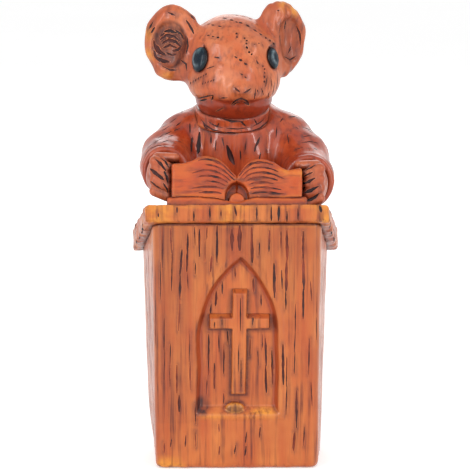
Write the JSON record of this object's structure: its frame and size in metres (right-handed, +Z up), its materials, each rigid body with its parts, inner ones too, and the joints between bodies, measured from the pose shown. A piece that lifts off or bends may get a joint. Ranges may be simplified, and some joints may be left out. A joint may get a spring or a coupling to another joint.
{
  "type": "mouse preacher figurine",
  "caption": "Carved-wood-look resin figurine of a robed mouse reading an open book at a pulpit with a gothic niche and a raised cross, to stand on a shelf.",
  "frame": {"origin": "on the floor, on the pulpit's flat bottom, 20 mm behind the pulpit's front face on the middle plane of the pulpit", "axes": "+X to the right as the pulpit's front is looked at, +Y from the pulpit's front towards the mouse's back, +Z up"},
  "size_m": [0.0448, 0.0448, 0.0999],
  "materials": {
    "pulpit_resin": "wood-effect stain under satin varnish",
    "book_resin": "wood-effect stain under satin varnish",
    "robe_resin": "red-brown stain under gloss varnish",
    "fur_resin": "orange stain under satin varnish",
    "eye_enamel": "gloss enamel"
  },
  "bodies": {
    "root": {"pulpit_body": "pulpit_resin", "desk_board": "pulpit_resin", "niche_cross": "pulpit_resin", "book_cover": "book_resin", "book_spine_lining": "book_resin", "book_pages_left": "book_resin", "book_pages_right": "book_resin", "robe": "robe_resin", "collar": "robe_resin", "sleeve_left": "robe_resin", "sleeve_right": "robe_resin", "head": "fur_resin", "ear_left": "fur_resin", "ear_right": "fur_resin", "paw_left": "fur_resin", "paw_right": "fur_resin", "tail": "fur_resin", "eye_left": "eye_enamel", "eye_right": "eye_enamel"}
  },
  "joints": []
}
